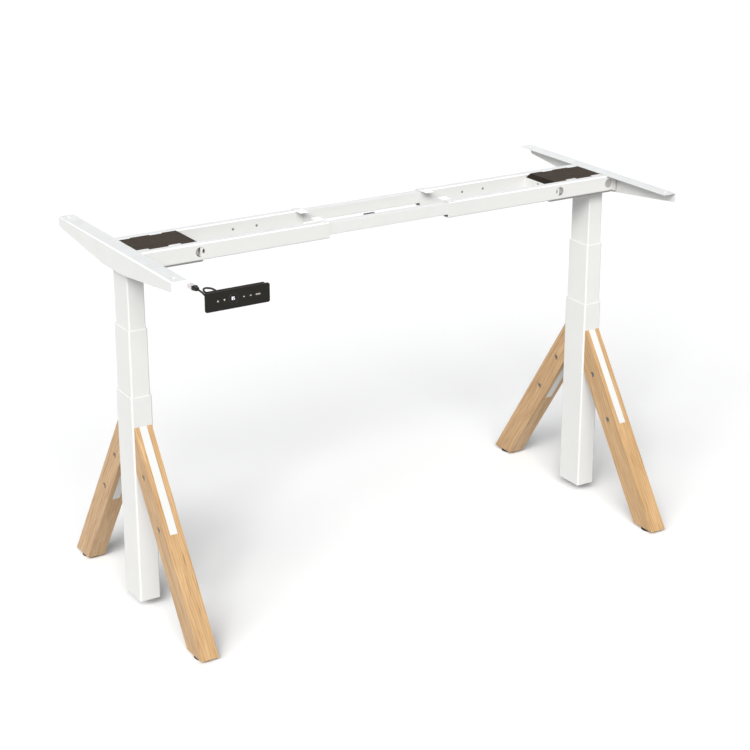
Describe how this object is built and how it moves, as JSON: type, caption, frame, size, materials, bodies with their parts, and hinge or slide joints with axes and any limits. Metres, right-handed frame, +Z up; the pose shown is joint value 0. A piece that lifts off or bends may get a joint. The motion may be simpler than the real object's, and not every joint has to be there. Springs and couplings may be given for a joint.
{
  "type": "height adjustable standing desk",
  "caption": "Height adjustable desk frame: telescoping motor columns on slanted oak struts, joined by extending steel rails, with side brackets and a wired push-button handset.",
  "frame": {"origin": "on the floor, midway between the two column axes", "axes": "+Z up, +X along the desk to the right, +Y to the rear; the handset hangs at the front left"},
  "size_m": [1.312, 0.7278, 0.852],
  "materials": {
    "white_powder_coat": "fine satin powder coat, white",
    "oiled_oak": "solid oak, matt oiled, straight grain along the strut",
    "zinc_steel": "zinc plated",
    "spindle_steel": "rolled and greased",
    "bright_steel": "bright plated",
    "glide_black": "matt black",
    "white_plastic": "moulded white",
    "motor_black": "satin black",
    "cast_alloy": "as cast",
    "cover_brown": "moulded, very dark brown",
    "clip_black": "moulded black",
    "handset_shell": "fine textured black",
    "handset_panel": "smooth black",
    "key_black": "smooth black with a white symbol",
    "cord_jacket": "satin black jacket",
    "boot_black": "moulded matt black",
    "clear_plastic": "clear"
  },
  "bodies": {
    "left_base": {"left_outer_tube": "white_powder_coat", "left_spindle_post": "zinc_steel", "left_front_strut": "oiled_oak", "left_rear_strut": "oiled_oak", "left_strut_brackets": "white_powder_coat", "left_strut_hardware": "bright_steel", "left_lower_guide": "white_plastic"},
    "left_front_foot": {"left_front_glide": "glide_black"},
    "left_rear_foot": {"left_rear_glide": "glide_black"},
    "left_middle": {"left_middle_tube": "white_powder_coat", "left_spindle_carrier": "zinc_steel", "left_upper_guide": "white_plastic"},
    "left_drive_screw": {"left_drive_spindle": "spindle_steel"},
    "left_hollow_screw": {"left_hollow_spindle": "spindle_steel"},
    "left_frame": {"left_inner_tube": "white_powder_coat", "left_motor_tray": "white_powder_coat", "left_motor": "motor_black", "left_gearbox": "cast_alloy", "left_motor_cover": "cover_brown", "left_rail_bolts": "bright_steel", "left_front_rail": "white_powder_coat", "left_rear_rail": "white_powder_coat", "left_side_bracket": "white_powder_coat", "left_rail_end_caps": "white_plastic", "handset_case": "handset_shell", "handset_face": "handset_panel", "handset_cord": "cord_jacket", "cord_boot": "boot_black", "cord_plug": "clear_plastic"},
    "inner_rails": {"inner_rails": "white_powder_coat", "cable_clip": "clip_black"},
    "right_base": {"right_outer_tube": "white_powder_coat", "right_spindle_post": "zinc_steel", "right_front_strut": "oiled_oak", "right_rear_strut": "oiled_oak", "right_strut_brackets": "white_powder_coat", "right_strut_hardware": "bright_steel", "right_lower_guide": "white_plastic"},
    "right_front_foot": {"right_front_glide": "glide_black"},
    "right_rear_foot": {"right_rear_glide": "glide_black"},
    "right_middle": {"right_middle_tube": "white_powder_coat", "right_spindle_carrier": "zinc_steel", "right_upper_guide": "white_plastic"},
    "right_drive_screw": {"right_drive_spindle": "spindle_steel"},
    "right_hollow_screw": {"right_hollow_spindle": "spindle_steel"},
    "right_frame": {"right_inner_tube": "white_powder_coat", "right_motor_tray": "white_powder_coat", "right_motor": "motor_black", "right_gearbox": "cast_alloy", "right_motor_cover": "cover_brown", "right_rail_bolts": "bright_steel", "right_front_rail": "white_powder_coat", "right_rear_rail": "white_powder_coat", "right_side_bracket": "white_powder_coat", "right_rail_end_caps": "white_plastic"},
    "key_up": {"key_up": "key_black"},
    "key_down": {"key_down": "key_black"},
    "key_one": {"key_one": "key_black"},
    "key_two": {"key_two": "key_black"},
    "key_lock": {"key_lock": "key_black"}
  },
  "joints": [
    {"name": "column_lift", "type": "slide", "parent": "left_base", "child": "left_middle", "axis": [0, 0, 1], "range_m": [-0.124, 0.175]},
    {"name": "left_top_lift", "type": "slide", "parent": "left_middle", "child": "left_frame", "axis": [0, 0, 1], "range_m": [-0.124, 0.175]},
    {"name": "left_rail_slide", "type": "slide", "parent": "left_frame", "child": "inner_rails", "axis": [1, 0, 0], "range_m": [-0.1, 0.2]},
    {"name": "right_rail_slide", "type": "slide", "parent": "inner_rails", "child": "right_frame", "axis": [1, 0, 0], "range_m": [-0.1, 0.2]},
    {"name": "right_top_lift", "type": "slide", "parent": "right_frame", "child": "right_middle", "axis": [0, 0, -1], "range_m": [-0.124, 0.175]},
    {"name": "right_column_lift", "type": "slide", "parent": "right_middle", "child": "right_base", "axis": [0, 0, -1], "range_m": [-0.124, 0.175]},
    {"name": "left_drive_spin", "type": "hinge", "parent": "left_frame", "child": "left_drive_screw", "pos_m": [-0.6195, 0, 0.6], "axis": [0, 0, 1], "range_deg": [-8940, 12610]},
    {"name": "left_hollow_spin", "type": "hinge", "parent": "left_middle", "child": "left_hollow_screw", "pos_m": [-0.6195, 0, 0.4], "axis": [0, 0, 1], "range_deg": [-4470, 6305]},
    {"name": "left_front_levelling", "type": "slide", "parent": "left_base", "child": "left_front_foot", "axis": [0, 0, 1], "range_m": [-0.012, 0]},
    {"name": "left_rear_levelling", "type": "slide", "parent": "left_base", "child": "left_rear_foot", "axis": [0, 0, 1], "range_m": [-0.012, 0]},
    {"name": "right_drive_spin", "type": "hinge", "parent": "right_frame", "child": "right_drive_screw", "pos_m": [0.6195, 0, 0.6], "axis": [0, 0, 1], "range_deg": [-8940, 12610]},
    {"name": "right_hollow_spin", "type": "hinge", "parent": "right_middle", "child": "right_hollow_screw", "pos_m": [0.6195, 0, 0.4], "axis": [0, 0, 1], "range_deg": [-4470, 6305]},
    {"name": "right_front_levelling", "type": "slide", "parent": "right_base", "child": "right_front_foot", "axis": [0, 0, 1], "range_m": [-0.012, 0]},
    {"name": "right_rear_levelling", "type": "slide", "parent": "right_base", "child": "right_rear_foot", "axis": [0, 0, 1], "range_m": [-0.012, 0]},
    {"name": "key_up_press", "type": "slide", "parent": "left_frame", "child": "key_up", "axis": [0, 1, 0], "range_m": [0, 0.0008], "stiffness_N_per_m": 1000, "springref_m": -0.0006},
    {"name": "key_down_press", "type": "slide", "parent": "left_frame", "child": "key_down", "axis": [0, 1, 0], "range_m": [0, 0.0008], "stiffness_N_per_m": 1000, "springref_m": -0.0006},
    {"name": "key_one_press", "type": "slide", "parent": "left_frame", "child": "key_one", "axis": [0, 1, 0], "range_m": [0, 0.0008], "stiffness_N_per_m": 1000, "springref_m": -0.0006},
    {"name": "key_two_press", "type": "slide", "parent": "left_frame", "child": "key_two", "axis": [0, 1, 0], "range_m": [0, 0.0008], "stiffness_N_per_m": 1000, "springref_m": -0.0006},
    {"name": "key_lock_press", "type": "slide", "parent": "left_frame", "child": "key_lock", "axis": [0, 1, 0], "range_m": [0, 0.0008], "stiffness_N_per_m": 1000, "springref_m": -0.0006}
  ],
  "couplings": [
    {"joint": "left_top_lift", "follows": "column_lift", "ratio": 1},
    {"joint": "right_top_lift", "follows": "column_lift", "ratio": 1},
    {"joint": "right_column_lift", "follows": "column_lift", "ratio": 1},
    {"joint": "left_drive_spin", "follows": "column_lift", "rad_per_m": 1256.6},
    {"joint": "left_hollow_spin", "follows": "column_lift", "rad_per_m": 628.32},
    {"joint": "right_drive_spin", "follows": "column_lift", "rad_per_m": 1256.6},
    {"joint": "right_hollow_spin", "follows": "column_lift", "rad_per_m": 628.32}
  ]
}
